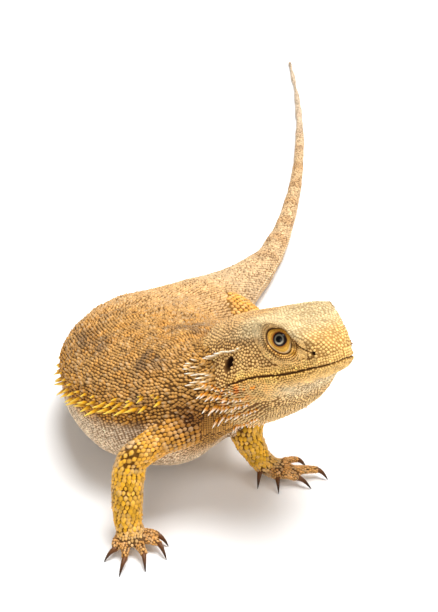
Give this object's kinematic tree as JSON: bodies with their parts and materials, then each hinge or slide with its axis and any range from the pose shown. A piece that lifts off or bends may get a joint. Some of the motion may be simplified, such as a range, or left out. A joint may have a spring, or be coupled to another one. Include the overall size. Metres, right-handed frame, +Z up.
{
  "type": "central bearded dragon",
  "caption": "Life-size still model of an adult bearded dragon lizard raised on its front legs, head lifted and turned, tail laid along the floor.",
  "frame": {"origin": "centre of the bounding box's base, on the floor", "axes": "+Z up, +Y towards the tail tip, the longest extent; the head looks towards +X and -Y"},
  "size_m": [0.1078, 0.3477, 0.0866],
  "materials": {
    "skin": "matt, scaly",
    "eye": "wet gloss",
    "claw": "satin horn"
  },
  "bodies": {
    "root": {"head": "skin", "neck": "skin", "torso": "skin", "tail_1": "skin", "tail_2": "skin", "tail_3": "skin", "tail_4": "skin", "upper_arm_left": "skin", "forearm_left": "skin", "hand_left": "skin", "thigh_left": "skin", "shank_left": "skin", "foot_left": "skin", "upper_arm_right": "skin", "forearm_right": "skin", "hand_right": "skin", "thigh_right": "skin", "shank_right": "skin", "foot_right": "skin", "eye_left": "eye", "eye_right": "eye", "claw_hand_left_1": "claw", "claw_hand_left_2": "claw", "claw_hand_left_3": "claw", "claw_hand_left_4": "claw", "claw_hand_left_5": "claw", "claw_hand_right_1": "claw", "claw_hand_right_2": "claw", "claw_hand_right_3": "claw", "claw_hand_right_4": "claw", "claw_hand_right_5": "claw", "claw_foot_left_1": "claw", "claw_foot_left_2": "claw", "claw_foot_left_3": "claw", "claw_foot_left_4": "claw", "claw_foot_left_5": "claw", "claw_foot_right_1": "claw", "claw_foot_right_2": "claw", "claw_foot_right_3": "claw", "claw_foot_right_4": "claw", "claw_foot_right_5": "claw"}
  },
  "joints": []
}
